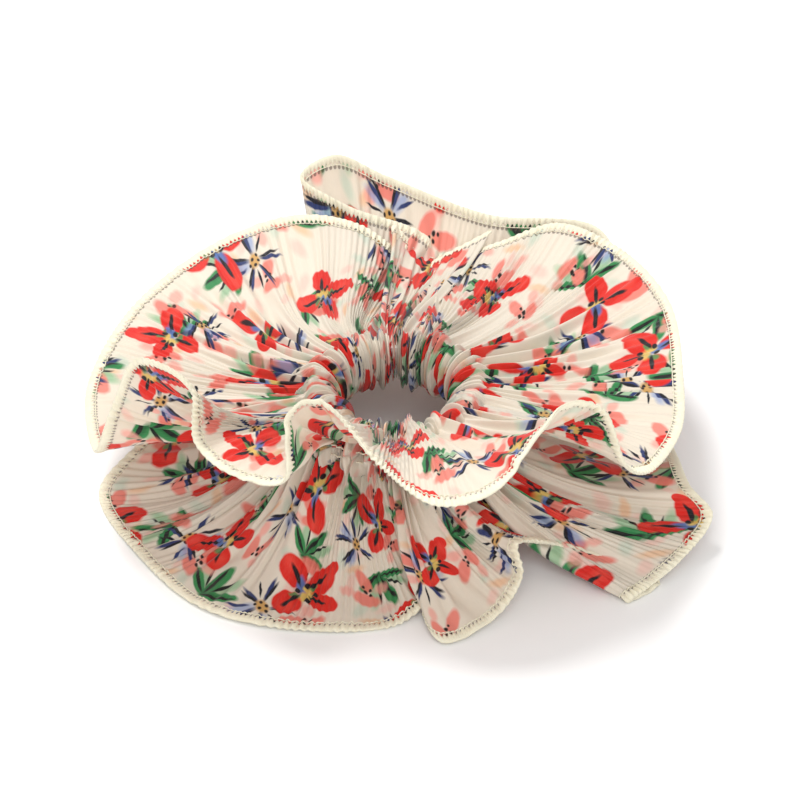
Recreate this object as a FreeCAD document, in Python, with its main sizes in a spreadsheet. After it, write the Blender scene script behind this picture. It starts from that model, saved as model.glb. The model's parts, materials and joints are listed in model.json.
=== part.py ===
"""Ruffled scrunchie: one long pleated strip, folded along its middle round an elastic loop.

A seam beside the fold makes the channel (casing) for the elastic. The two free halves of the
strip stand out from it as an upper and a lower frill, each with an overlocked hem.
Lengths are in millimetres, +Z is up, and the origin is the middle of the surface it lies on.
Angles are in degrees from +X towards +Y. The frills are fuller behind the ring than in front of
it, so the middle of their hems is a little behind and to the right of the ring's axis.
"""
import FreeCAD, Part
import math
import os
import Sketcher

doc = FreeCAD.newDocument("Scrunchie")

SIZES = {
    # where the ring stands
    "axis_x": 0.0,
    "axis_y": -13.0,
    "ring_middle": 28.0,
    # channel of gathered fabric, hollow for the elastic
    "opening_radius": 15.0,
    "casing_width": 12.0,
    "casing_height": 13.0,
    "casing_round": 2.5,
    "casing_fabric": 2.2,
    "casing_ease": 1.0,
    # flat elastic, lapped at its ends, and the zigzag that joins them
    "elastic_width": 8.0,
    "elastic_thick": 1.1,
    "elastic_inside": 20.0,
    "lap_angle": 38.0,
    "lap_gap": 0.1,
    "zigzag_rows": 3.0,
    "zigzag_margin": 1.0,
    # frills, and the middle of their hems from the axis; the lower frill is flattened by
    # rest_flat where it lies on the surface
    "hem_shift_x": 4.0,
    "hem_shift_y": 5.3,
    "root_reach": 27.6,
    "upper_root": 29.2,
    "lower_root": 25.6,
    "frill_thick": 1.2,
    "rest_flat": 1.6,
    # threads
    "thread": 0.4,
    "seam_reach": 28.3,
    "needle_rise": 0.7,
    "bobbin_drop": 1.5,
    "hem_width": 2.2,
    "needle_inset": 3.0,
    "needle_gap": 0.35,
    # join of the strip's two ends
    "end_seam_angle": 150.0,
    "end_seam_width": 5.0,
    "end_seam_start": 31.0,
    # slab under the surface that the scrunchie lies on
    "slab_side": 240.0,
    "slab_depth": 10.0,
}

# Each frill's run round the ring: angle, reach of the hem from the middle of the hems, height of
# the belly at three quarters of the way out, and height of the hem. Crests and valleys are its
# loose waves.
UPPER_FRILL = [
    (0, 69, 33, 31), (15, 75, 33, 29), (30, 79, 34, 31), (45, 81, 37, 35), (60, 78, 38, 37),
    (75, 74, 30, 26), (88, 73, 35, 33), (102, 73, 31, 27), (118, 76, 36, 35), (135, 81, 36, 35),
    (150, 84, 33, 29), (165, 85, 30, 26), (180, 84, 27, 22), (195, 82, 28, 23), (209, 76, 46, 52),
    (222, 70, 49, 56), (236, 71, 41, 44), (249, 60, 48, 57), (261, 62, 45, 50), (275, 69, 40, 42),
    (290, 68, 43, 48), (305, 64, 48, 57), (318, 72, 39, 39), (338, 72, 35, 36),
]
LOWER_FRILL = [
    (0, 75, 8, 1.5), (20, 75, 6, -0.6), (38, 80, 9, 8), (55, 85, 14, 26), (72, 86, 15, 32),
    (90, 85, 16, 38), (105, 83, 17, 49), (117, 82, 14, 40), (131, 80, 8, 17), (146, 77, 5, 2),
    (163, 79, 3, -1.5), (179, 81, 3, -1.5), (193, 79, 3, -1.5), (207, 76, 3, -1.5),
    (221, 73, 3, -1.5), (235, 70, 3, -1.5), (248, 67, 3, -1.5), (261, 64, 4, -1.4),
    (274, 68, 5, -1.2), (286, 64, 7, 3), (298, 58, 10, 9), (314, 71, 6, -0.6), (328, 76, 7, 1),
    (342, 80, 10, 6),
]
WAIST = 0.4  # share of the way out where a frill still leaves its root
WAIST_RISE = 0.55  # share of the belly's height that it has there
BELLY = 0.75

# A sketch's rectangle and its dimensions before the sheet's cells set them
DRAFT_CORNERS = [(20, 20), (30, 20), (30, 30), (20, 30)]
DRAFT_SIZE = 25.0


def make_sheet():
    """The driving dimensions, one aliased cell each."""
    sheet = doc.addObject("Spreadsheet::Sheet", "Sizes")
    for row, (alias, value) in enumerate(SIZES.items(), start=1):
        sheet.set(f"A{row}", alias)
        sheet.set(f"B{row}", str(value))
        sheet.setAlias(f"B{row}", alias)
    doc.recompute()
    return sheet


sizes = make_sheet()


def size(alias):
    """A driving dimension as a number."""
    return float(sizes.get(alias))


def bind(item, expressions):
    """Ties properties of a document object to cells of the sheet."""
    for name, expression in expressions.items():
        item.setExpression(name, expression)


def stand_on_axis(item):
    """Places a sub-part that was drawn round the ring's own axis."""
    bind(item, {"Placement.Base.x": "Sizes.axis_x", "Placement.Base.y": "Sizes.axis_y"})


def rectangle_beside_axis(sketch, inside, width, height):
    """A rectangle from the radius called inside outwards, centred on the ring's middle height."""
    corners = [FreeCAD.Vector(x, y, 0) for x, y in DRAFT_CORNERS]
    first = sketch.GeometryCount
    for start, end in zip(corners, corners[1:] + corners[:1]):
        sketch.addGeometry(Part.LineSegment(start, end), False)
    bottom, right, top, left = range(first, first + 4)
    for one, other in ((bottom, right), (right, top), (top, left), (left, bottom)):
        sketch.addConstraint(Sketcher.Constraint("Coincident", one, 2, other, 1))
    for line in (bottom, top):
        sketch.addConstraint(Sketcher.Constraint("Horizontal", line))
    for line in (right, left):
        sketch.addConstraint(Sketcher.Constraint("Vertical", line))
    reference = -1  # the sketch's own origin
    for kind, line, end, expression in (
        ("DistanceX", bottom, 1, inside),
        ("DistanceX", bottom, 2, f"{inside} + {width}"),
        ("DistanceY", bottom, 1, f"Sizes.ring_middle - ({height}) / 2"),
        ("DistanceY", top, 1, f"Sizes.ring_middle + ({height}) / 2"),
    ):
        constraint = Sketcher.Constraint(kind, reference, 1, line, end, DRAFT_SIZE)
        number = sketch.addConstraint(constraint)
        sketch.setExpression(f"Constraints[{number}]", expression)


def revolved_body(name, rectangles, angle):
    """A body whose rectangles are turned about the ring's axis by the angle."""
    body = doc.addObject("PartDesign::Body", name)
    sketch = body.newObject("Sketcher::SketchObject", f"{name}_section")
    plane = next(p for p in body.Origin.OriginFeatures if p.Role == "XZ_Plane")
    sketch.AttachmentSupport = [(plane, "")]
    sketch.MapMode = "FlatFace"
    for inside, width, height in rectangles:
        rectangle_beside_axis(sketch, inside, width, height)
    turn = body.newObject("PartDesign::Revolution", f"{name}_turn")
    turn.Profile = sketch
    turn.ReferenceAxis = (sketch, ["V_Axis"])
    bind(turn, {"Angle": angle})
    doc.recompute()
    stand_on_axis(body)
    return body


def casing_tube():
    """The channel: gathered fabric round a slot that the elastic runs in."""
    body = revolved_body(
        "casing_tube",
        [
            ("Sizes.opening_radius", "Sizes.casing_width", "Sizes.casing_height"),
            (
                "Sizes.opening_radius + Sizes.casing_fabric",
                "Sizes.casing_width - 2 * Sizes.casing_fabric",
                "Sizes.casing_height - 2 * Sizes.casing_fabric + Sizes.casing_ease",
            ),
        ],
        "360",
    )
    turn = body.Tip
    radii = (size("opening_radius"), size("opening_radius") + size("casing_width"))
    edges = [
        f"Edge{number}"
        for number, edge in enumerate(turn.Shape.Edges, start=1)
        if hasattr(edge.Curve, "Radius") and any(abs(edge.Curve.Radius - r) < 0.01 for r in radii)
    ]
    rounding = body.newObject("PartDesign::Fillet", "casing_rounding")
    rounding.Base = (turn, edges)
    bind(rounding, {"Radius": "Sizes.casing_round"})
    doc.recompute()
    return body


def elastic_band():
    """The flat elastic loop, standing on edge inside the channel."""
    rectangle = ("Sizes.elastic_inside", "Sizes.elastic_thick", "Sizes.elastic_width")
    return revolved_body("elastic_band", [rectangle], "360")


def elastic_lap():
    """The end of the elastic that laps over its start, outside the loop."""
    inside = "Sizes.elastic_inside + Sizes.elastic_thick + Sizes.lap_gap"
    rectangle = (inside, "Sizes.elastic_thick", "Sizes.elastic_width")
    return revolved_body("elastic_lap_end", [rectangle], "Sizes.lap_angle")


def elastic_stitching():
    """Rows of zigzag thread across the lap, lying on its outer face."""
    reach = size("elastic_inside") + 2 * size("elastic_thick") + 2 * size("lap_gap")
    half_height = size("elastic_width") / 2 - size("zigzag_margin")
    rows = int(size("zigzag_rows"))
    thread = size("thread")
    solids = []
    for row in range(rows):
        angle = math.radians(size("lap_angle") * (row + 0.5) / rows)
        stitch = Part.makeCylinder(thread / 2, 2 * half_height)
        across = (reach + thread / 2) * math.cos(angle)
        along = (reach + thread / 2) * math.sin(angle)
        stitch.translate(FreeCAD.Vector(across, along, size("ring_middle") - half_height))
        solids.append(stitch)
    return feature("elastic_lap_stitching", Part.makeCompound(solids))


def feature(name, shape):
    """A sub-part drawn round the ring's axis, with its Shape set before its Placement."""
    item = doc.addObject("Part::Feature", name)
    item.Shape = shape
    stand_on_axis(item)
    return item


def ring_at(frill, root, share, inset=0.0, lift=0.0):
    """The closed curve that a frill passes through at a share of the way from root to hem.

    inset moves it back towards the ring, and lift raises it.
    """
    shift = FreeCAD.Vector(size("hem_shift_x"), size("hem_shift_y"), 0)
    points = []
    for angle, reach, belly, hem in frill:
        heights = {0.0: root, WAIST: root + WAIST_RISE * (belly - root), BELLY: belly, 1.0: hem}
        stops = sorted(heights)
        inner = max(stop for stop in stops if stop < 1.0 and stop <= share)
        outer = stops[stops.index(inner) + 1]
        turn = math.radians(angle)
        outwards = FreeCAD.Vector(math.cos(turn), math.sin(turn), 0)
        start = outwards * size("root_reach")
        run = outwards * reach + shift - start
        step = share - inset / run.Length
        part_way = (step - inner) / (outer - inner)
        height = heights[inner] + part_way * (heights[outer] - heights[inner])
        points.append(start + run * step + FreeCAD.Vector(0, 0, height + lift))
    curve = Part.BSplineCurve()
    curve.interpolate(Points=points, PeriodicFlag=True)
    return Part.Wire([curve.toShape()])


def thickened(wires, thick):
    """The surface through closed wires, given a thickness straight up."""
    surface = Part.makeLoft(wires, False, False)
    return surface.Faces[0].extrude(FreeCAD.Vector(0, 0, thick))


def frill_solid(frill, root):
    """The whole wavy half of the strip, from its root to just inside the hem's thread edge."""
    inset = size("hem_width")
    wires = [
        ring_at(frill, root, 0.0),
        ring_at(frill, root, WAIST),
        ring_at(frill, root, BELLY),
        ring_at(frill, root, 1.0, inset=inset),
    ]
    return thickened(wires, size("frill_thick"))


def hem_band(frill, root, lift):
    """One looper thread's half of the overlocked edge, just beyond the cut edge of the frill."""
    gap = size("lap_gap") / 2
    wires = [
        ring_at(frill, root, 1.0, inset=size("hem_width") - gap, lift=lift),
        ring_at(frill, root, 1.0, lift=lift),
    ]
    return thickened(wires, size("frill_thick") / 2 - gap)


def needle_line(frill, root):
    """The hem's needle thread, lying on top of the frill a little inside its edge."""
    inset = size("needle_inset")
    lift = size("frill_thick") + size("needle_gap")
    wires = [
        ring_at(frill, root, 1.0, inset=inset + size("thread"), lift=lift),
        ring_at(frill, root, 1.0, inset=inset, lift=lift),
    ]
    return thickened(wires, size("thread"))


def above_surface(name, blank):
    """The blank, flattened where it rests on the surface."""
    slab = doc.addObject("Part::Box", "surface_slab")
    bind(
        slab,
        {
            "Length": "Sizes.slab_side",
            "Width": "Sizes.slab_side",
            "Height": "Sizes.slab_depth",
            "Placement.Base.x": "-Sizes.slab_side / 2",
            "Placement.Base.y": "-Sizes.slab_side / 2",
            "Placement.Base.z": "-Sizes.slab_depth",
        },
    )
    cut = doc.addObject("Part::Cut", name)
    cut.Base = blank
    cut.Tool = slab
    return cut


def seam_thread(name, height):
    """One thread of the seam that closes the channel, a ring round the frills' roots."""
    ring = doc.addObject("Part::Torus", name)
    bind(
        ring,
        {
            "Radius1": "Sizes.seam_reach",
            "Radius2": "Sizes.thread / 2",
            "Placement.Base.z": height,
        },
    )
    stand_on_axis(ring)
    return ring


def end_seam(name, solid, shift):
    """The seam allowance where the strip's ends meet, a second layer along one line of reach."""
    line = Part.makeBox(size("slab_side") / 2, size("end_seam_width"), size("slab_side"))
    line.translate(FreeCAD.Vector(size("end_seam_start"), -size("end_seam_width") / 2, 0))
    line.rotate(FreeCAD.Vector(0, 0, 0), FreeCAD.Vector(0, 0, 1), size("end_seam_angle"))
    layer = solid.common(line)
    layer.translate(FreeCAD.Vector(0, 0, shift))
    return feature(name, layer)


def frill_set(side, frill, root, edge_lift):
    """The two looper threads and the needle thread of one frill's hem."""
    thick = size("frill_thick")
    return [
        feature(f"{side}_hem_lower_looper_thread", hem_band(frill, root, edge_lift)),
        feature(f"{side}_hem_upper_looper_thread", hem_band(frill, root, edge_lift + thick / 2)),
        feature(f"{side}_hem_needle_thread", needle_line(frill, root)),
    ]


def build():
    """Every sub-part, in the order that the scrunchie is put together."""
    layer_gap = size("frill_thick") + size("lap_gap")
    upper = frill_solid(UPPER_FRILL, size("upper_root"))
    lower = frill_solid(LOWER_FRILL, size("lower_root"))

    parts = [elastic_band(), elastic_lap(), elastic_stitching(), casing_tube()]
    parts.append(feature("upper_frill", upper))
    parts.append(above_surface("lower_frill", feature("lower_frill_blank", lower)))
    parts.append(end_seam("upper_end_seam_allowance", upper, -layer_gap))
    parts.append(end_seam("lower_end_seam_allowance", lower, layer_gap))
    parts += frill_set("upper", UPPER_FRILL, size("upper_root"), 0.0)
    parts += frill_set("lower", LOWER_FRILL, size("lower_root"), size("rest_flat"))
    parts.append(
        seam_thread(
            "casing_seam_needle_thread", "Sizes.upper_root + Sizes.frill_thick + Sizes.needle_rise"
        )
    )
    parts.append(seam_thread("casing_seam_bobbin_thread", "Sizes.lower_root - Sizes.bobbin_drop"))
    doc.recompute()
    return parts


def check(parts):
    """Stops before anything is written if the document or a sub-part has failed."""
    for item in doc.Objects:
        if "Invalid" in item.State or "Error" in item.State:
            raise RuntimeError(f"{item.Name} failed: {item.State}")
    for item in parts:
        if item.Shape.isNull() or not item.Shape.isValid() or item.Shape.Volume <= 0:
            raise RuntimeError(f"{item.Label} has no valid shape")


def write(parts):
    """One STEP file for each sub-part, named by its Label."""
    os.makedirs("parts", exist_ok=True)
    for item in parts:
        item.Shape.exportStep(os.path.join("parts", f"{item.Label}.step"))


sub_parts = build()
check(sub_parts)
write(sub_parts)
for sub_part in sub_parts:
    box = sub_part.Shape.optimalBoundingBox()
    print(
        f"{sub_part.Label}: {len(sub_part.Shape.Solids)} solid(s), "
        f"{sub_part.Shape.Volume:.0f} mm3, x {box.XMin:.2f} to {box.XMax:.2f}, "
        f"y {box.YMin:.2f} to {box.YMax:.2f}, z {box.ZMin:.2f} to {box.ZMax:.2f}"
    )
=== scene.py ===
"""Ruffled scrunchie in floral pleated cloth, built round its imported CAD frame.

The script works in millimetres in the frame's own axes and turns them into metres only when a
mesh is made. Along each frill s runs once round the hem, from 0 to 1, and t runs from
the root at the ring, 0, to the hem, 1.
"""

import json
import math

import bpy
import numpy as np
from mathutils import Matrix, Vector


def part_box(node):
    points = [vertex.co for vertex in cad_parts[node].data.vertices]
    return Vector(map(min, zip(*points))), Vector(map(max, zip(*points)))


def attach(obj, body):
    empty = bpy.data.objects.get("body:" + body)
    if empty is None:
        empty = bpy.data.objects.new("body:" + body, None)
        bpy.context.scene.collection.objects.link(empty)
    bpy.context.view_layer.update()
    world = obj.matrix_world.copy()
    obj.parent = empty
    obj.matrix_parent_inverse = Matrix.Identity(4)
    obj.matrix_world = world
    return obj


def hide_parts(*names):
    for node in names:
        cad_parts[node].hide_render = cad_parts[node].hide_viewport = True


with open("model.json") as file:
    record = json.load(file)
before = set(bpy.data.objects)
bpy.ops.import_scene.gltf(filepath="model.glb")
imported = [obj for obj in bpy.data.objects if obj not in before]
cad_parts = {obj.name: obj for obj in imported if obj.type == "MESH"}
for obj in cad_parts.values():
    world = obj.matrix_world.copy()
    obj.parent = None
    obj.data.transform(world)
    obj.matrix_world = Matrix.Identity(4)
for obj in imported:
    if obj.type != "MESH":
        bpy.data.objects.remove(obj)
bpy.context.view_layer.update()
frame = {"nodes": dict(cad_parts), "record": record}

MM = 0.001
TURN = 2 * math.pi


# ---------------------------------------------------------------- sizes, from the frame

def ring_from_frame():
    """Centre of the ring in millimetres, from the mount in its opening."""
    mounts = frame["record"]["mounts"]
    opening = next(mount for mount in mounts if mount["name"] == "hair_opening")
    return np.array(opening["pos_m"]) / MM


RING = ring_from_frame()
AXIS = np.array([RING[0], RING[1], 0.0])
RING_MIDDLE = RING[2]

tube_low, tube_high = (np.array(corner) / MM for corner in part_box("casing_tube"))
TUBE_OUTSIDE = (tube_high[0] - tube_low[0]) / 2
TUBE_RISE = (tube_high[2] - tube_low[2]) / 2
TUBE_INSIDE = 15.0
INSIDE_EASE = 1.2  # how much wider the soft channel's inside is than the CAD's
SEAM_TURNS = {1: 92.0, -1: -48.0}  # where each frill leaves the channel's section, degrees

FRILL_WIDTH = 57.0  # from seam to hem, flat
CASING_WIDTH = 45.0  # from seam to seam round the channel, flat
HEM_EASE = 1.06  # the strip's length over the hem's own run, for its open pleats
END_SEAM_ANGLE = 150.0  # where the strip's two ends meet, degrees round the ring
END_SEAM_WIDTH = 5.0
ALLOWANCE_LIFT = 0.55  # from the cloth to the seam allowance that lies on it
ROOT_DEPTH = 1.4  # how deep the frills' roots sit in the channel's gathers
CLOTH = 0.3
PLEATS = 240
PLEAT_SAMPLES = 6  # columns of the mesh in each pleat
BAKE_STRIPS = 4  # strips that a cloth piece's bake layout is cut into

# Overlocked hems
STITCH = 1.25
HEM_BAND = 1.7
FINGER = 0.8  # how far each loop reaches past the band
NEEDLE_INSET = 0.95  # from the band to the needle line
NEEDLE_RADIUS = 0.16
THREAD_SIDES = 6
STITCH_SHADE_INSET = 0.55  # from the band to the painted shade spots beside the needle line
LOOP_SAMPLES = 8
NEEDLE_SAMPLES = 6
HEM_STRIPS = 12
# An overlocked edge's section: share of the band's width from the edge, and height over the cloth
HEM_SECTION = ((1.0, 0.06), (0.8, 0.20), (0.5, 0.34), (0.22, 0.33), (0.0, 0.14), (-0.09, 0.0))

# Channel seam
SEAM_STITCHES = 96
SEAM_SAMPLES = 6
SEAM_DEPTH = 1.2
SEAM_RADIUS = 0.2
SEAM_RISE = 1.4  # from the ring's middle height to each line of thread

# Each hem's run round the ring, one row where a wave crests, dips or turns: angle of the pleat's
# root, then the hem's place (x and y from the ring's axis, and height) and how steeply the cloth
# rises where it ends.
UPPER_HEM = [
    # right fan
    (0, 72, 7, 31, 0), (20, 71, 43, 33, 10), (42, 59, 67, 35, 15), (58, 44, 74, 38, 30),
    # two folds behind, where the cloth doubles back
    (67, 28, 76, 31, 10), (77, 9, 76, 24, -5), (84, 26, 81, 32, 15), (91, 11, 81, 24, 0),
    (97, -1, 78, 35, 15), (106, 8, 75, 21, -10),
    # left fan
    (116, -9, 74, 37, 25), (128, -26, 75, 40, 30), (145, -47, 67, 37, 20), (166, -69, 45, 30, 0),
    (186, -79, 14, 24, -5), (198, -74, -17, 25, -5),
    # left wave, standing up
    (203, -68, -26, 44, 40), (209, -60, -33, 62, 60), (218, -48, -40, 59, 55),
    (224, -47, -44, 46, 15), (234, -38, -53, 43, 0), (243, -26, -56, 43, 0),
    # middle and right waves, and the dip between them
    (249, -25, -47, 56, 50), (256, -18, -46, 59, 60), (265, -4, -55, 47, 10),
    (277, 9, -61, 40, -15), (290, 23, -59, 43, -5), (301, 33, -50, 53, 45),
    (309, 40, -44, 57, 60), (317, 48, -41, 53, 40), (326, 54, -42, 38, -10),
    (333, 60, -36, 32, -15), (344, 69, -18, 31, -5),
]
LOWER_HEM = [
    # right side, then the upright part behind
    (10, 70, 20, 5, -5), (30, 67, 44, 5, -5), (44, 63, 66, 16, 15), (54, 56, 83, 31, 60),
    (74, 25, 88, 33, 60), (92, -3, 90, 44, 65), (101, -17, 89, 51, 65), (107, -26, 83, 48, 60),
    # folded back over itself
    (114, -14, 79, 41, 60), (124, 9, 82, 28, 20), (130, 4, 76, 18, 0), (139, -17, 75, 12, 0),
    # left side
    (152, -43, 69, 7, 0), (165, -59, 42, 4, 0), (178, -67, 15, 6, 5), (187, -76, 1, 1, 0),
    # front lobe, flat on the floor, and the tuck that ends it
    (201, -64, -27, 1, 0), (218, -46, -49, 1, 0), (237, -23, -57, 1, 0), (253, 0, -55, 1, 0),
    (261, 10, -47, 4, 10), (265, 7, -55, 2, -10), (270, 11, -62, 1, -20), (278, 24, -54, 3, -10),
    # front and right waves
    (285, 30, -46, 9, 10), (289, 29, -42, 15, 20), (296, 43, -34, 8, 0), (304, 64, -38, 1, 0),
    (308, 56, -46, 1, -10), (316, 69, -34, 4, -10), (325, 78, -21, 9, 5), (333, 73, -15, 13, 5),
    (349, 71, 3, 11, 0),
]


# ---------------------------------------------------------------- curves and folds

def wander(s, seed, slowest, fastest):
    """A smooth random value of about one either way, the same at s = 0 and s = 1."""
    rng = np.random.default_rng(seed)
    total = np.zeros_like(s)
    for cycles in range(slowest, fastest + 1):
        total += rng.normal() * np.cos(TURN * (cycles * s + rng.random()))
    return total / math.sqrt((fastest - slowest + 1) / 2 + 0.5)


def closed_curve(rows, samples):
    """A smooth closed curve through the rows, cut into samples of even length."""
    rows = np.array(rows, float)
    rows[:, 0] = np.unwrap(rows[:, 0], period=360)
    rows = np.vstack([rows, rows[0]])
    rows[-1, 0] += 360
    gaps = np.sqrt(np.linalg.norm(np.diff(rows[:, 1:4], axis=0), axis=1))
    knots = np.concatenate([[0], np.cumsum(gaps)])
    slopes = np.diff(rows, axis=0) / gaps[:, None]
    before, after = np.roll(slopes, 1, axis=0), slopes
    gap_before, gap_after = np.roll(gaps, 1)[:, None], gaps[:, None]
    tangents = (before * gap_after + after * gap_before) / (gap_before + gap_after)
    tangents = np.vstack([tangents, tangents[0]])
    fine = np.linspace(0, knots[-1], samples * 4 + 1)
    span = np.clip(np.searchsorted(knots, fine, "right") - 1, 0, len(gaps) - 1)
    gap = gaps[span][:, None]
    u = (fine - knots[span])[:, None] / gap
    curve = (
        rows[span] * (1 + 2 * u) * (1 - u) ** 2
        + tangents[span] * gap * u * (1 - u) ** 2
        + rows[span + 1] * u**2 * (3 - 2 * u)
        + tangents[span + 1] * gap * u**2 * (u - 1)
    )
    lengths = np.linalg.norm(np.diff(curve[:, 1:4], axis=0), axis=1)
    run = np.concatenate([[0], np.cumsum(lengths)])
    even = np.linspace(0, run[-1], samples + 1)
    return np.stack([np.interp(even, run, column) for column in curve.T], axis=1), run[-1]


def radial(angle):
    """Unit vectors away from the ring's axis at an angle in degrees."""
    turn = np.radians(angle)
    return np.stack([np.cos(turn), np.sin(turn), np.zeros_like(turn)], axis=-1)


UP = np.array([0.0, 0.0, 1.0])


def unit(vectors):
    return vectors / np.maximum(np.linalg.norm(vectors, axis=-1, keepdims=True), 1e-9)


def inside_reach(angle):
    """The hair opening's radius: a little more at the back and left than at the front and right,
    and more from front to back than across."""
    turn = np.radians(angle)
    return TUBE_INSIDE + INSIDE_EASE + 0.2 * np.sin(turn) - 0.9 * np.cos(2 * turn) - 0.5 * np.cos(turn)


def on_channel(angle, turn):
    """Points and outward normals on the smooth channel. turn starts outside and goes over the top."""
    out = radial(angle)
    tilt = np.radians(turn)
    inside = inside_reach(angle)
    reach = (TUBE_OUTSIDE + inside + np.cos(tilt) * (TUBE_OUTSIDE - inside)) / 2
    height = RING_MIDDLE + np.sin(tilt) * TUBE_RISE
    normal = unit(out * np.cos(tilt)[..., None] + UP * np.sin(tilt)[..., None])
    return AXIS + out * reach[..., None] + UP * height[..., None], normal


HEM_SAMPLES = 6000
HANDLE = 0.38  # length of the curve's handles, as a share of the way from root to hem
START_LIMITS = {1: (-0.35, 1.2), -1: (-1.1, 1.2)}  # how steeply each frill may leave, radians
START_BEND = 0.7  # how much the start bends the other way from the end


class Frill:
    """One of the two ruffled halves of the strip."""

    def __init__(self, rows, side, seed):
        self.table, self.hem_length = closed_curve(rows, HEM_SAMPLES)
        self.table[:, 1:3] += RING[:2]
        self.flat_length = self.hem_length * HEM_EASE
        self.side = side  # +1 for the upper frill, -1 for the lower one
        self.seed = seed

    def along(self, s):
        """Rows of the hem's table at each s, which may run past 0 and 1."""
        places = np.linspace(0, 1, len(self.table))
        whole = np.floor(s)
        row = np.stack([np.interp(s - whole, places, column) for column in self.table.T], axis=-1)
        row[..., 0] += 360 * whole
        return row

    def base(self, s, t):
        """The cloth without its pleats, a curve from the ring to the hem at each s."""
        row = self.along(s)
        angle, hem, rise = row[..., 0], row[..., 1:4], np.radians(row[..., 4])
        out = radial(angle)
        top, inward = on_channel(angle, np.full_like(angle, SEAM_TURNS[self.side]))
        root = top - inward * ROOT_DEPTH
        reach = hem - root
        level = reach * np.array([1, 1, 0])
        climb = np.arctan2(reach[..., 2], np.linalg.norm(level, axis=-1))
        start = np.clip(climb + START_BEND * (climb - rise), *START_LIMITS[self.side])
        chord = np.linalg.norm(reach, axis=-1)[..., None]
        across = unit(level)
        first = unit(out * 0.7 + across * 0.5)
        leaving = first * np.cos(start)[..., None] + UP * np.sin(start)[..., None]
        arriving = across * np.cos(rise)[..., None] + UP * np.sin(rise)[..., None]
        one = root + leaving * chord * HANDLE
        two = hem - arriving * chord * HANDLE
        t = t[..., None]
        return (
            root * (1 - t) ** 3
            + one * 3 * t * (1 - t) ** 2
            + two * 3 * t**2 * (1 - t)
            + hem * t**3
        )

    def frame_at(self, s, t):
        """Base points, their normals, and how long a unit of s and a unit of t are there."""
        step_s, step_t = 0.0015, 0.01
        along = (self.base(s + step_s, t) - self.base(s - step_s, t)) / (2 * step_s)
        out = (self.base(s, t + step_t) - self.base(s, t - step_t)) / (2 * step_t)
        normal = unit(np.cross(out, along))
        return self.base(s, t), normal, np.linalg.norm(along, axis=-1), np.linalg.norm(out, axis=-1)

    def cloth(self, s, t):
        """Pleated points, normals that point to the upper side, and how long a unit of t is."""
        points, normal, rate, speed = self.frame_at(s, t)
        height = folds(s, t, rate, self.flat_length, self.seed)
        return points + normal * height[..., None], normal, speed


# Families of folds that take up the gathers: how many go round, how much of the crowding each
# takes in the channel, at the root, a third of the way out and at the hem, and how unevenly they
# are spaced.
FOLD_PLACES = (-1, 0, 0.35, 1)
LEAST_CROWD = 1.02
MOST_CROWD = (6.5, 5.0, 2.6, 1.6)
SWAY = 0.3
UNEVEN = 0.4
FOLD_FAMILIES = (
    (PLEATS, (0.95, 0.42, 0.38, 0.5), 2.6),
    (73, (0.04, 0.12, 0.06, 0.0), 1.2),
    (27, (0.03, 0.10, 0.07, 0.0), 0.5),
)


def folds(s, t, rate, flat_length, seed):
    """How far pleats and gathers lift the cloth, so that its flat length fits the length it has.

    t runs from -1 in the channel to 0 at the root and 1 at the hem.
    """
    crowd = np.clip(flat_length / rate, LEAST_CROWD, np.interp(t, FOLD_PLACES, MOST_CROWD))
    sway = SWAY * wander(s + 0.015 * t, seed + 2, 8, 40)
    lift = np.zeros_like(s)
    for number, (count, takes, jitter) in enumerate(FOLD_FAMILIES):
        slope = np.sqrt((crowd**2 - 1) * np.interp(t, FOLD_PLACES, takes))
        half = np.minimum(rate / count, flat_length / count) / 4 * slope
        spacing = jitter * wander(s + 0.01 * t, seed + 3 + number, 2, 9) + sway * count / PLEATS
        uneven = 1 + UNEVEN * np.clip(wander(s, seed + 13 + number, 12, 70), -2, 2)
        lift += half * uneven * np.sin(TURN * (count * s + spacing))
    return lift


# ---------------------------------------------------------------- meshes

BAKE_GAP = 0.03  # margin at each side of a bake strip, as a share of its width


def make_object(name, data):
    thing = bpy.data.objects.new(name, data)
    bpy.context.scene.collection.objects.link(thing)
    return thing


def grid_faces(columns, rows, wrap):
    """Corner indices of the quads round a grid whose rows close, and the corners as laid flat.

    wrap says whether its columns close too.
    """
    across = columns if wrap else columns - 1
    i, j = np.meshgrid(np.arange(across), np.arange(rows), indexing="ij")
    i, j = i.ravel(), j.ravel()
    corners_i = np.stack([i, i + 1, i + 1, i], axis=1)
    corners_j = np.stack([j, j, j + 1, j + 1], axis=1)
    faces = (corners_i % columns) * rows + corners_j % rows
    return faces, corners_i, corners_j


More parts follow.
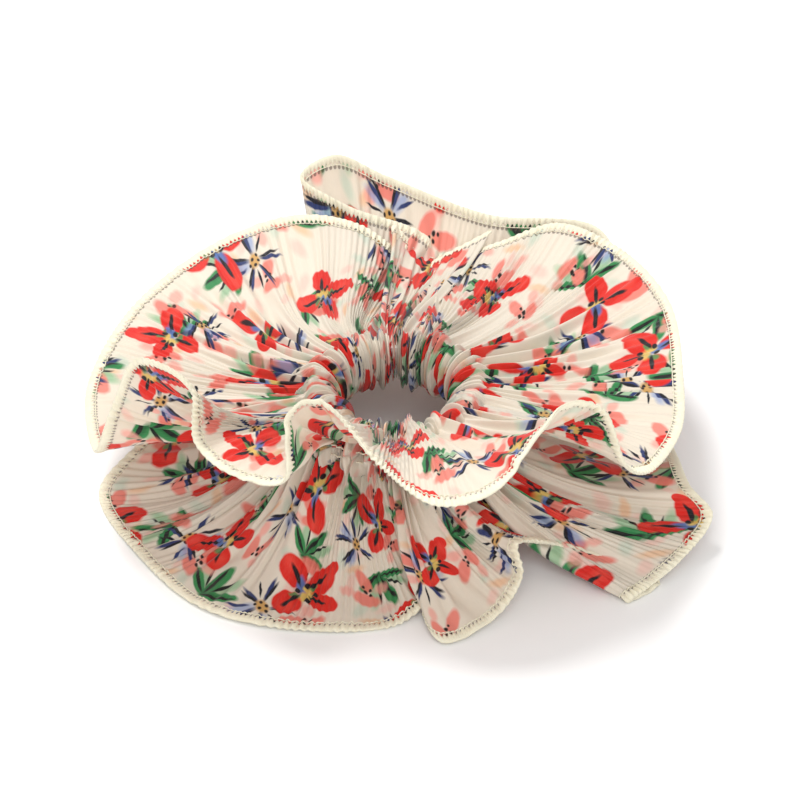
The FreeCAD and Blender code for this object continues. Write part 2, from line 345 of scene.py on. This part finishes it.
def skin(name, points, wrap, flat_uv, strips):
    """A smooth closed mesh over a grid of points, shaped (columns, rows, 3) in mm.

    Each column is a closed section. wrap joins the last one to the first; without it, both ends
    are capped. flat_uv gives the cloth's flat place in mm for a corner's column and row; strips
    is the number of rows that the bake layout breaks the length into.
    """
    columns, rows = points.shape[:2]
    faces, ci, cj = grid_faces(columns, rows, wrap)
    vertices = points.reshape(-1, 3) * MM
    polygons = faces.tolist()
    if not wrap:
        polygons.append(list(range(rows)))
        polygons.append([(columns - 1) * rows + k for k in range(rows)][::-1])
    mesh = bpy.data.meshes.new(name)
    mesh.from_pydata(vertices.tolist(), [], polygons)
    mesh.polygons.foreach_set("use_smooth", np.ones(len(mesh.polygons), bool))
    flat = mesh.uv_layers.new(name="FlatCloth")
    bake = mesh.uv_layers.new(name="OFBake")
    u, v = flat_uv(ci, cj)
    values = np.zeros((len(mesh.loops), 2))
    values[: ci.size] = np.stack([u.ravel(), v.ravel()], axis=1)
    flat.data.foreach_set("uv", values.ravel())
    length = columns if wrap else columns - 1
    strip = np.minimum(ci[:, :1] * strips // length, strips - 1)
    along = ci * strips / length - strip
    down = (strip + BAKE_GAP + (1 - 2 * BAKE_GAP) * cj / rows) / strips
    values[: ci.size] = np.stack([along.ravel(), down.ravel()], axis=1)
    bake.data.foreach_set("uv", values.ravel())
    mesh.update()
    return make_object(name, mesh)


def both_sides(top, bottom):
    """A closed section: down the top side and back along the bottom one."""
    return np.concatenate([top, bottom[:, ::-1]], axis=1)


def thick_cloth(name, points, normal, wrap, u, v, strips):
    """Cloth with a real thickness. u and v are the flat places of its columns and rows."""
    top, bottom = points + normal * CLOTH / 2, points - normal * CLOTH / 2
    section = both_sides(top, bottom)
    v_round = np.concatenate([v, v[::-1], v[:1]])
    u_round = np.append(u, 2 * u[-1] - u[-2])
    return skin(name, section, wrap, lambda i, j: (u_round[i], v_round[j]), strips)


def shares(count):
    """Even places round a closed run, from 0 up to but not reaching 1."""
    return np.linspace(0.0, 1.0, count, endpoint=False)


def grid_of(s, t):
    return np.meshgrid(s, t, indexing="ij")


def frill_piece(name, frill, v_root, v_hem):
    """A frill's cloth, with closer rows under the overlocked edge."""
    s = shares(PLEATS * PLEAT_SAMPLES)
    t = np.concatenate([np.linspace(0, 0.95, 56), np.linspace(0.965, 0.993, 4)])
    points, normal, _ = frill.cloth(*grid_of(s, t))
    u = s * frill.flat_length
    v = v_root + (v_hem - v_root) * t
    return thick_cloth(name, points, normal, True, u, v, BAKE_STRIPS)


NEAR_HEM = 0.985


def from_edge(frill, s, distance):
    """The cloth at a distance in from the hem's edge, one distance for each s."""
    _, _, _, speed = frill.frame_at(s, np.full_like(s, NEAR_HEM))
    return frill.cloth(s, 1 - distance / speed)


def hem_half(name, frill, face):
    """One looper thread's half of the overlocked edge: ribs across it, with fingers at its inside."""
    stitches = round(frill.hem_length / STITCH)
    s = shares(stitches * LOOP_SAMPLES)
    finger = 0.5 + 0.5 * np.cos(TURN * stitches * s)
    rib = 0.5 + 0.5 * np.cos(TURN * 2 * stitches * s)
    reach = HEM_BAND + FINGER * np.clip(1.6 * finger - 0.3, 0, 1)
    reach = reach + 0.12 * wander(s, frill.seed + 9, 60, 200)
    outer, inner = [], []
    for share, lift in HEM_SECTION:
        points, normal, _ = from_edge(frill, s, reach * share)
        height = face * (CLOTH / 2 + lift * (0.72 + 0.28 * rib))
        outer.append(points + normal * height[:, None])
        inner.append(points + normal * (face * 0.02))
    section = both_sides(np.stack(outer, axis=1), np.stack(inner, axis=1))
    return skin(
        name, section, True, lambda i, j: (i / LOOP_SAMPLES * STITCH, j * 0.4), HEM_STRIPS
    )


def tube_points(line, normal, radius, sides):
    """A grid round a line. normal gives the section its first direction."""
    ahead = unit(np.roll(line, -1, axis=0) - np.roll(line, 1, axis=0))
    side = unit(np.cross(ahead, normal))
    up = np.cross(side, ahead)
    turns = shares(sides) * TURN
    ring = side[:, None] * np.cos(turns)[None, :, None] + up[:, None] * np.sin(turns)[None, :, None]
    return line[:, None] + ring * radius


def hem_needle(name, frill):
    """The needle thread, which dips into the cloth between its stitches."""
    stitches = round(frill.hem_length / STITCH)
    s = shares(stitches * NEEDLE_SAMPLES)
    points, normal, _ = from_edge(frill, s, np.full_like(s, HEM_BAND + NEEDLE_INSET))
    height = CLOTH / 2 + 0.05 + 0.16 * np.cos(TURN * stitches * s)
    line = points + normal * height[:, None]
    section = tube_points(line, normal, NEEDLE_RADIUS, THREAD_SIDES)
    return skin(
        name, section, True, lambda i, j: (i / NEEDLE_SAMPLES * STITCH, j * 0.2), HEM_STRIPS
    )


LIP_TUCK = 1.6  # how far the channel is drawn in beneath the frills' roots


def casing_piece(name, upper):
    """The gathered channel, from the seam outside over the top, the inside and back underneath."""
    s = shares(PLEATS * PLEAT_SAMPLES)
    turn = np.linspace(0, 360, 52)
    s_grid, turn_grid = grid_of(s, turn)
    angle = upper.along(s_grid)[..., 0]
    points, normal = on_channel(angle, turn_grid)
    depth = -np.sin(np.pi * turn_grid / 360)
    reach = np.linalg.norm((points - AXIS)[..., :2], axis=-1)
    lift = folds(s_grid, depth, TURN * reach, upper.flat_length, upper.seed)
    puff = 0.6 * wander(s_grid + 0.01 * depth, 71, 6, 30) * depth
    tuck = LIP_TUCK * np.clip((SEAM_TURNS[1] - turn_grid) / 25, 0, 1)
    tuck = tuck + LIP_TUCK * np.clip((turn_grid - 325) / 35, 0, 1)
    points = points + normal * (lift + puff - tuck)[..., None]
    u = s * upper.flat_length
    v = FRILL_WIDTH + CASING_WIDTH * np.linspace(0, 1, len(turn))
    return thick_cloth(name, points, -normal, True, u, v, BAKE_STRIPS)


def seam_stitches(name, height):
    """One thread of the seam beside the channel, in short stitches sunk in the gathers."""
    s = shares(SEAM_STITCHES * SEAM_SAMPLES)
    out = radial(360 * s)
    reach = TUBE_OUTSIDE - SEAM_DEPTH + 0.25 * np.cos(TURN * SEAM_STITCHES * s)
    line = AXIS + out * reach[:, None] + UP * height
    section = tube_points(line, np.broadcast_to(UP, line.shape), SEAM_RADIUS, THREAD_SIDES)
    return skin(
        name, section, True, lambda i, j: (i / SEAM_SAMPLES * 2, j * 0.2), BAKE_STRIPS
    )


def end_allowance(name, frill, v_root, v_hem):
    """The seam allowance where the strip's ends meet, a narrow layer on the frill's inner side."""
    places = np.linspace(0, 1, len(frill.table))
    middle = np.interp(END_SEAM_ANGLE, frill.table[:, 0], places)
    half = END_SEAM_WIDTH / 2 / frill.flat_length
    s = np.linspace(middle - half, middle + half, 13)
    t = np.linspace(0.06, 0.94, 40)
    points, normal, _ = frill.cloth(*grid_of(s, t))
    points = points - normal * (frill.side * ALLOWANCE_LIFT)
    u = s * frill.flat_length
    v = v_root + (v_hem - v_root) * t
    return thick_cloth(name, points, normal, False, u, v, 1)


# ---------------------------------------------------------------- materials

def colour(code):
    """A linear colour from a hexadecimal one."""
    parts = [int(code[k:k + 2], 16) / 255 for k in (0, 2, 4)]
    linear = [c / 12.92 if c <= 0.04045 else ((c + 0.055) / 1.055) ** 2.4 for c in parts]
    return (*linear, 1.0)


class Graph:
    """Short ways to add nodes to a tree."""

    def __init__(self, tree):
        self.tree = tree

    def add(self, kind, settings=None, **inputs):
        node = self.tree.nodes.new(kind)
        for key, value in (settings or {}).items():
            setattr(node, key, value)
        for key, value in inputs.items():
            self.put(node.inputs[int(key[1:]) if key[1:].isdigit() else key.replace("_", " ")], value)
        return node

    def put(self, socket, value):
        if isinstance(value, bpy.types.NodeSocket):
            self.tree.links.new(value, socket)
        else:
            socket.default_value = value

    def math(self, kind, a, b=0.0, c=0.0):
        return self.add("ShaderNodeMath", {"operation": kind}, i0=a, i1=b, i2=c).outputs[0]

    def vector(self, kind, a, b=(0, 0, 0)):
        return self.add("ShaderNodeVectorMath", {"operation": kind}, i0=a, i1=b).outputs[0]

    def scaled(self, vector, scale):
        node = self.add("ShaderNodeVectorMath", {"operation": "SCALE"}, i0=vector)
        self.put(node.inputs["Scale"], scale)
        return node.outputs[0]

    def mix(self, factor, a, b):
        node = self.add("ShaderNodeMix", {"data_type": "RGBA"})
        self.put(node.inputs["Factor"], factor)
        self.put(node.inputs["A"], a)
        self.put(node.inputs["B"], b)
        return node.outputs["Result"]

    def noise(self, vector, scale, detail=1.0):
        flat = {"noise_dimensions": "2D"}
        node = self.add("ShaderNodeTexNoise", flat, Vector=vector, Scale=scale, Detail=detail)
        return node.outputs

    def step(self, value, low, high):
        """0 below low and 1 above high, or the other way round if low is the larger."""
        node = self.add("ShaderNodeMapRange", None, Value=value)
        self.put(node.inputs["From Min"], low)
        self.put(node.inputs["From Max"], high)
        return node.outputs[0]

    def blob(self, point, x, y, angle, length, width):
        """1 at the edge of an ellipse and less inside it."""
        node = self.add("ShaderNodeMapping", {"vector_type": "TEXTURE"}, Vector=point)
        self.put(node.inputs["Location"], (x, y, 0))
        self.put(node.inputs["Rotation"], (0, 0, math.radians(angle)))
        self.put(node.inputs["Scale"], (length / 2, width / 2, 1))
        measure = self.add("ShaderNodeVectorMath", {"operation": "LENGTH"}, i0=node.outputs[0])
        return measure.outputs["Value"]

    def blobs(self, point, shapes, soft=0.08):
        """A mask over several ellipses, each (x, y, angle, length, width)."""
        nearest = None
        for shape in shapes:
            one = self.blob(point, *shape)
            nearest = one if nearest is None else self.math("MINIMUM", nearest, one)
        return self.step(nearest, 1 + soft, 1 - soft)


# Each motif is a list of paints, back to front: a colour, how solid it is, how soft its edge is,
# and its brush marks as (x, y, angle, length, width), in mm from the motif's centre and degrees.
POPPY = [
    ("E9271A", 1.0, 0.07, [(-4.4, -1.0, 20, 6.4, 5.6), (3.8, 2.2, 35, 7.0, 5.8),
                           (2.2, -5.0, 292, 8.2, 5.4), (-0.8, 4.8, 104, 6.6, 4.2),
                           (6.6, 3.6, 70, 3.6, 3.4)]),
    ("F5503F", 0.55, 0.5, [(-5.4, -0.4, 20, 3.4, 2.6), (4.8, 3.2, 35, 3.6, 2.4),
                           (3.0, -6.4, 292, 4.6, 2.4)]),
    ("5A80C0", 0.95, 0.25, [(0.8, -1.4, -50, 4.4, 2.1), (-0.8, 0.9, 60, 2.6, 1.3)]),
    ("EBCB69", 0.95, 0.3, [(-0.6, 1.1, 20, 3.0, 2.0), (1.0, 0.3, 80, 2.2, 1.5)]),
    ("4F9A5C", 0.9, 0.3, [(-1.9, -0.9, 70, 2.4, 1.2), (2.0, 1.2, 30, 1.8, 1.0)]),
    ("120E18", 1.0, 0.2, [(-3.5, -0.8, 14, 4.6, 0.95), (3.4, 1.4, 30, 4.8, 0.95), (1.9, -3.9, 296, 5.2, 1.0),
                           (-0.6, 3.4, 100, 3.8, 0.8), (-1.4, 1.9, 30, 1.3, 1.1), (0.6, 2.3, 50, 1.2, 1.0),
                           (1.7, -0.3, 10, 1.4, 1.0), (-0.6, -1.1, 10, 1.2, 1.1)]),
]
DAISY = [
    ("93ABDB", 0.7, 0.5, [(3.6, -2.6, 322, 6.0, 2.4), (-3.6, -3.0, 222, 5.0, 1.8)]),
    ("2C3D74", 1.0, 0.25, [(4.4, 1.2, 16, 6.4, 1.1), (1.4, 4.6, 74, 6.6, 1.1), (-3.8, 2.6, 146, 5.6, 1.0),
                           (-3.0, -3.8, 232, 6.4, 1.2), (3.0, -4.4, 304, 7.4, 1.2),
                           (5.2, -2.4, 338, 5.2, 0.9)]),
    ("0E1020", 1.0, 0.25, [(4.2, 0.6, 8, 6.0, 0.75), (0.8, 4.4, 82, 5.8, 0.7), (-4.2, 1.8, 156, 5.2, 0.7),
                           (-2.4, -4.2, 240, 6.0, 0.8), (2.2, -4.6, 298, 6.6, 0.8),
                           (-4.4, -1.2, 196, 4.2, 0.6), (3.4, 3.4, 48, 4.4, 0.6)]),
    ("DDAF68", 1.0, 0.25, [(0.0, 0.0, 20, 3.6, 2.8)]),
    ("1B1418", 1.0, 0.3, [(0.8, 0.7, 0, 0.9, 0.8), (-0.7, 0.8, 0, 0.8, 0.9), (0.1, -0.7, 0, 0.9, 0.8),
                          (-1.5, -0.3, 0, 0.8, 0.8), (1.6, -0.5, 0, 0.8, 0.8)]),
]
BLOSSOM = [
    ("F48B7B", 0.92, 0.18, [(-2.0, 1.2, 78, 6.8, 3.2), (2.0, -1.2, 118, 6.4, 3.2)]),
    ("F9B2A3", 0.75, 0.3, [(2.4, 3.8, 40, 3.8, 2.6), (-2.6, -3.8, 80, 3.4, 2.4)]),
    ("1D1714", 1.0, 0.3, [(-0.2, 0.3, 0, 0.9, 1.2), (0.7, 1.3, 0, 0.9, 0.9), (-0.4, 1.9, 0, 0.7, 0.9),
                          (0.6, -0.7, 0, 0.7, 0.8)]),
]
LEAVES = [
    ("9CCB9D", 0.8, 0.3, [(0.4, 4.4, 74, 8.4, 2.6), (4.4, -0.4, 6, 7.4, 2.4)]),
    ("3A9556", 1.0, 0.12, [(2.8, 2.8, 44, 9.4, 2.9), (-1.6, 2.6, 112, 8.0, 2.5), (3.0, -1.8, -24, 7.6, 2.4)]),
    ("256F3E", 0.7, 0.4, [(2.2, 1.8, 44, 6.0, 1.4), (-1.2, 1.8, 112, 5.4, 1.2)]),
    ("121A18", 1.0, 0.2, [(2.9, 2.4, 40, 7.8, 0.85), (-1.8, 2.4, 114, 6.6, 0.75), (3.2, -1.9, -26, 6.6, 0.75),
                          (1.2, 3.9, 64, 5.8, 0.7), (4.2, 0.6, 12, 5.0, 0.7)]),
]
DABS = [
    ("F6BE84", 0.55, 0.4, [(-1.0, 0.0, 80, 5.2, 2.0)]),
    ("F9C9BC", 0.55, 0.4, [(3.4, 1.6, 60, 4.6, 2.4), (-4.4, -2.0, 20, 4.0, 2.0)]),
    ("CFE0CE", 0.6, 0.4, [(1.4, -4.0, 10, 5.0, 2.4)]),
]


def motif_group(name, paints, scale):
    """A node group that paints one motif in every cell of a lattice, each turned its own way."""
    tree = bpy.data.node_groups.new(name, "ShaderNodeTree")
    for label, kind in (("Place", "NodeSocketVector"), ("Ground", "NodeSocketColor"),
                        ("Cell", "NodeSocketFloat"), ("Seed", "NodeSocketFloat"),
                        ("Share", "NodeSocketFloat")):
        tree.interface.new_socket(label, in_out="INPUT", socket_type=kind)
    tree.interface.new_socket("Colour", in_out="OUTPUT", socket_type="NodeSocketColor")
    g = Graph(tree)
    given = g.add("NodeGroupInput").outputs
    split = g.add("ShaderNodeSeparateXYZ", None, Vector=given["Place"]).outputs
    column = g.math("DIVIDE", split[0], given["Cell"])
    half = g.math("MULTIPLY", g.math("MODULO", g.math("ABSOLUTE", g.math("FLOOR", column)), 2.0), 0.5)
    row = g.math("ADD", g.math("DIVIDE", split[1], given["Cell"]), half)
    cell = g.add("ShaderNodeCombineXYZ", None,
                 X=g.math("FLOOR", column), Y=g.math("FLOOR", row), Z=given["Seed"])
    chance = g.add("ShaderNodeTexWhiteNoise", {"noise_dimensions": "3D"}, Vector=cell.outputs[0]).outputs
    draw = g.add("ShaderNodeSeparateColor", None, Color=chance["Color"]).outputs
    inside = g.add("ShaderNodeCombineXYZ", None,
                   X=g.math("SUBTRACT", g.math("FRACT", column), 0.5),
                   Y=g.math("SUBTRACT", g.math("FRACT", row), 0.5))
    offset = g.add("ShaderNodeCombineXYZ", None,
                   X=g.math("MULTIPLY_ADD", draw[0], 0.12, -0.06),
                   Y=g.math("MULTIPLY_ADD", draw[1], 0.12, -0.06))
    local = g.scaled(g.vector("ADD", inside.outputs[0], offset.outputs[0]), given["Cell"])
    size = g.math("MULTIPLY_ADD", draw[0], -0.25, scale + 0.12)
    turned = g.add("ShaderNodeVectorRotate", {"rotation_type": "Z_AXIS"}, Vector=local,
                   Angle=g.math("MULTIPLY", draw[2], TURN)).outputs[0]
    point = g.scaled(turned, g.math("DIVIDE", 1.0, size))
    present = g.math("LESS_THAN", chance["Value"], given["Share"])
    tone = given["Ground"]
    for code, solid, soft, marks in paints:
        mask = g.math("MULTIPLY", g.blobs(point, marks, soft), solid)
        tone = g.mix(g.math("MULTIPLY", mask, present), tone, colour(code))
    g.add("NodeGroupOutput", None, Colour=tone)
    return tree


def shader_of(material):
    """A new material's graph, its shader node and its output node."""
    material.use_nodes = True
    nodes = material.node_tree.nodes
    return Graph(material.node_tree), nodes["Principled BSDF"], nodes["Material Output"]


def stitch_gap_shade(g, place, tone):
    """Painted shade: small dark spots beside each hem's needle stitches, where the gaps between the thread's
    loops lie in shadow.
    """
    split = g.add("ShaderNodeSeparateXYZ", None, Vector=place).outputs
    middle = FRILL_WIDTH + CASING_WIDTH / 2
    inward = g.math("SUBTRACT", middle, g.math("ABSOLUTE", g.math("SUBTRACT", split[1], middle)))
    along = g.math("SUBTRACT", g.math("FRACT", g.math("DIVIDE", split[0], STITCH * HEM_EASE)), 0.5)
    spot = g.add("ShaderNodeCombineXYZ", None, X=g.math("MULTIPLY", along, 2.6),
                 Y=g.math("DIVIDE", g.math("SUBTRACT", inward, HEM_BAND + STITCH_SHADE_INSET), 0.5))
    reach = g.add("ShaderNodeVectorMath", {"operation": "LENGTH"}, i0=spot.outputs[0]).outputs["Value"]
    return g.mix(g.math("MULTIPLY", g.step(reach, 1.1, 0.7), 0.65), tone, colour("5A483E"))


LATTICE_TILT = 13  # between the print's rows and the strip, degrees
THROUGH_TINT = (1.0, 0.92, 0.87, 1.0)
THROUGH_SHARE = 0.3  # of the light that falls on the cloth


def printed_cloth():
    """Cream pleated cloth with poppies, daisies, blossoms and leaves printed on it."""
    material = bpy.data.materials.new("printed_pleated_chiffon")
    g, shader, output = shader_of(material)
    place = g.add("ShaderNodeUVMap", {"uv_map": "FlatCloth"}).outputs[0]
    drift = g.vector("SUBTRACT", g.noise(place, 0.045, 0.0)["Color"], (0.5, 0.5, 0.5))
    brush = g.vector("SUBTRACT", g.noise(place, 0.22, 2.0)["Color"], (0.5, 0.5, 0.5))
    moved = g.vector("ADD", place, g.scaled(drift, 4.0))
    moved = g.vector("ADD", moved, g.scaled(brush, 0.8))
    level = g.add("ShaderNodeVectorMath", {"operation": "MULTIPLY"}, i0=moved, i1=(1, 1, 0)).outputs[0]
    tone = colour("F1E9D9")
    # name, paints, size, side of a cell, place of the lattice, seed, share of cells that are filled
    layers = (
        ("dabs", DABS, 1.3, 21.0, (3, 5), 11, 0.85),
        ("leaves", LEAVES, 1.4, 29.0, (13, 17), 23, 0.75),
        ("blossom", BLOSSOM, 1.3, 20.0, (2, 14), 5, 0.8),
        ("daisy", DAISY, 1.25, 36.0, (19, 3), 41, 0.8),
        ("poppy", POPPY, 1.45, 36.0, (6, 8), 7, 0.97),
    )
    for name, paints, scale, cell, shift, seed, share in layers:
        node = g.add("ShaderNodeGroup", {"node_tree": motif_group(name, paints, scale)})
        turned = g.add("ShaderNodeMapping", {"vector_type": "POINT"}, Vector=level)
        g.put(turned.inputs["Location"], (shift[0], shift[1], 0))
        g.put(turned.inputs["Rotation"], (0, 0, math.radians(LATTICE_TILT)))
        g.put(node.inputs["Place"], turned.outputs[0])
        g.put(node.inputs["Ground"], tone)
        g.put(node.inputs["Cell"], cell)
        g.put(node.inputs["Seed"], seed)
        g.put(node.inputs["Share"], share)
        tone = node.outputs[0]
    # Painted shade: dark spots in the gaps beside each hem's needle line
    tone = stitch_gap_shade(g, place, tone)
    streak = g.noise(g.vector("MULTIPLY", place, (3.0, 0.5, 0)), 1.0, 2.0)[0]
    tone = g.mix(g.step(streak, 0.35, 0.8), tone, g.mix(0.06, tone, colour("C9B8A4")))
    g.put(shader.inputs["Base Color"], tone)
    shader.inputs["Roughness"].default_value = 0.5
    shader.inputs["Specular IOR Level"].default_value = 0.3
    shader.inputs["Sheen Weight"].default_value = 0.25
    weave, cross = (
        g.add("ShaderNodeTexWave", {"wave_type": "BANDS", "bands_direction": way}, Vector=place, Scale=1.3)
        for way in "XY"
    )
    grain = g.math("ADD", weave.outputs["Fac"], cross.outputs["Fac"])
    bump = g.add("ShaderNodeBump", None, Strength=0.15, Distance=0.0001, Height=grain)
    g.put(shader.inputs["Normal"], bump.outputs[0])
    warm = g.add("ShaderNodeMix", {"data_type": "RGBA", "blend_type": "MULTIPLY"})
    g.put(warm.inputs["Factor"], 1.0)
    g.put(warm.inputs["A"], tone)
    g.put(warm.inputs["B"], THROUGH_TINT)
    through = g.add("ShaderNodeBsdfTranslucent", None, Color=warm.outputs["Result"])
    mixed = g.add("ShaderNodeMixShader", None, Fac=THROUGH_SHARE)
    g.put(mixed.inputs[1], shader.outputs[0])
    g.put(mixed.inputs[2], through.outputs[0])
    g.put(output.inputs["Surface"], mixed.outputs[0])
    return material


def thread_material():
    """Cream polyester thread, with its twist as a fine slanted bump."""
    material = bpy.data.materials.new("cream_thread")
    g, shader, _ = shader_of(material)
    place = g.add("ShaderNodeUVMap", {"uv_map": "FlatCloth"}).outputs[0]
    patchy = g.noise(place, 0.4, 2.0)[0]
    g.put(shader.inputs["Base Color"], g.mix(patchy, colour("E4DCC0"), colour("ECE6D0")))
    shader.inputs["Roughness"].default_value = 0.6
    shader.inputs["Sheen Weight"].default_value = 0.3
    twist = g.add("ShaderNodeTexWave", {"bands_direction": "DIAGONAL"},
                  Vector=place, Scale=1.6, Distortion=1.0)
    bump = g.add("ShaderNodeBump", None, Strength=0.4, Distance=0.0001, Height=twist.outputs["Fac"])
    g.put(shader.inputs["Normal"], bump.outputs[0])
    return material


def elastic_material():
    """White knitted elastic, ribbed along its length."""
    material = bpy.data.materials.new("white_elastic")
    g, shader, _ = shader_of(material)
    place = g.add("ShaderNodeTexCoord").outputs["Object"]
    ribs = g.add("ShaderNodeTexWave", {"bands_direction": "Z"}, Vector=place, Scale=260.0, Distortion=0.6)
    # The grooves between the ribs are painted a little greyer: painted shade that follows the bump's bands.
    g.put(shader.inputs["Base Color"], g.mix(ribs.outputs["Fac"], colour("E9E6DF"), colour("FAF9F5")))
    shader.inputs["Roughness"].default_value = 0.75
    bump = g.add("ShaderNodeBump", None, Strength=0.6, Distance=0.0003, Height=ribs.outputs["Fac"])
    g.put(shader.inputs["Normal"], bump.outputs[0])
    return material


# ---------------------------------------------------------------- pieces

def finish_piece(piece, material, slot, *nodes):
    piece.data.materials.append(material)
    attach(piece, "root")
    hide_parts(*nodes)


def build_object():
    cloth, thread, elastic = printed_cloth(), thread_material(), elastic_material()
    upper, lower = Frill(UPPER_HEM, 1, 100), Frill(LOWER_HEM, -1, 200)
    channel = casing_piece("casing_channel_cloth", upper)
    finish_piece(channel, cloth, "printed_pleated_chiffon", "casing_tube")
    flat_end = 2 * FRILL_WIDTH + CASING_WIDTH
    spans = {
        "upper": (upper, FRILL_WIDTH, 0.0),
        "lower": (lower, FRILL_WIDTH + CASING_WIDTH, flat_end),
    }
    for side, (frill, v_root, v_hem) in spans.items():
        body = frill_piece(f"{side}_frill_cloth", frill, v_root, v_hem)
        finish_piece(body, cloth, "printed_pleated_chiffon", f"{side}_frill")
        hems = [
            (hem_half(f"{side}_hem_upper_loops", frill, 1), f"{side}_hem_upper_looper_thread"),
            (hem_half(f"{side}_hem_lower_loops", frill, -1), f"{side}_hem_lower_looper_thread"),
            (hem_needle(f"{side}_hem_needle_stitches", frill), f"{side}_hem_needle_thread"),
        ]
        for piece, node in hems:
            finish_piece(piece, thread, "cream_thread", node)
        fold = end_allowance(f"{side}_end_allowance_cloth", frill, v_root, v_hem)
        finish_piece(fold, cloth, "printed_pleated_chiffon", f"{side}_end_seam_allowance")
    for label, height in (("needle", RING_MIDDLE + SEAM_RISE), ("bobbin", RING_MIDDLE - SEAM_RISE)):
        stitches = seam_stitches(f"casing_seam_{label}_stitches", height)
        finish_piece(stitches, thread, "cream_thread", f"casing_seam_{label}_thread")
    for node, material in (
        ("elastic_band", elastic), ("elastic_lap_end", elastic), ("elastic_lap_stitching", thread),
    ):
        for slot in frame["nodes"][node].material_slots:
            slot.material = material


# ---------------------------------------------------------------- stage, light and camera

FLOOR_REACH = 6.0  # from the middle to each side, metres


def stage():
    corners = [(x * FLOOR_REACH, y * FLOOR_REACH, 0) for x, y in ((-1, -1), (1, -1), (1, 1), (-1, 1))]
    mesh = bpy.data.meshes.new("floor")
    mesh.from_pydata(corners, [], [(0, 1, 2, 3)])
    floor = make_object("floor", mesh)
    material = bpy.data.materials.new("pale_floor")
    _, shader, _ = shader_of(material)
    shader.inputs["Base Color"].default_value = (0.93, 0.925, 0.92, 1)
    shader.inputs["Roughness"].default_value = 0.9
    mesh.materials.append(material)


def area_light(name, place, size, power, target):
    light = bpy.data.lights.new(name, "AREA")
    light.shape = "DISK"
    light.size = size
    light.energy = power
    lamp = make_object(name, light)
    lamp.location = place
    lamp.rotation_euler = (Vector(target) - Vector(place)).to_track_quat("-Z", "Y").to_euler()


def light():
    world = bpy.data.worlds.new("studio")
    bpy.context.scene.world = world
    world.use_nodes = True
    background = world.node_tree.nodes["Background"]
    background.inputs["Color"].default_value = (1.0, 1.0, 1.0, 1)
    background.inputs["Strength"].default_value = 0.66
    middle = (RING[0] * MM, RING[1] * MM, 0.03)
    area_light("key", (-0.32, 0.3, 1.1), 0.4, 9.0, middle)
    area_light("fill", (0.1, -0.95, 0.75), 0.8, 6.0, middle)


LOOK_AT = (-0.0001, -0.0077, 0.0266)  # metres


def camera():
    """Looks down on the scrunchie from the front with a long lens."""
    data = bpy.data.cameras.new("camera")
    data.lens = 120
    data.sensor_width = 36
    view = make_object("camera", data)
    elevation, distance = math.radians(33), 0.667
    target = Vector(LOOK_AT)
    view.location = target + Vector((0, -math.cos(elevation), math.sin(elevation))) * distance
    view.rotation_euler = (math.radians(90) - elevation, 0, 0)
    bpy.context.scene.camera = view
    bpy.context.scene.view_settings.view_transform = "Standard"


stage()
light()
camera()
build_object()
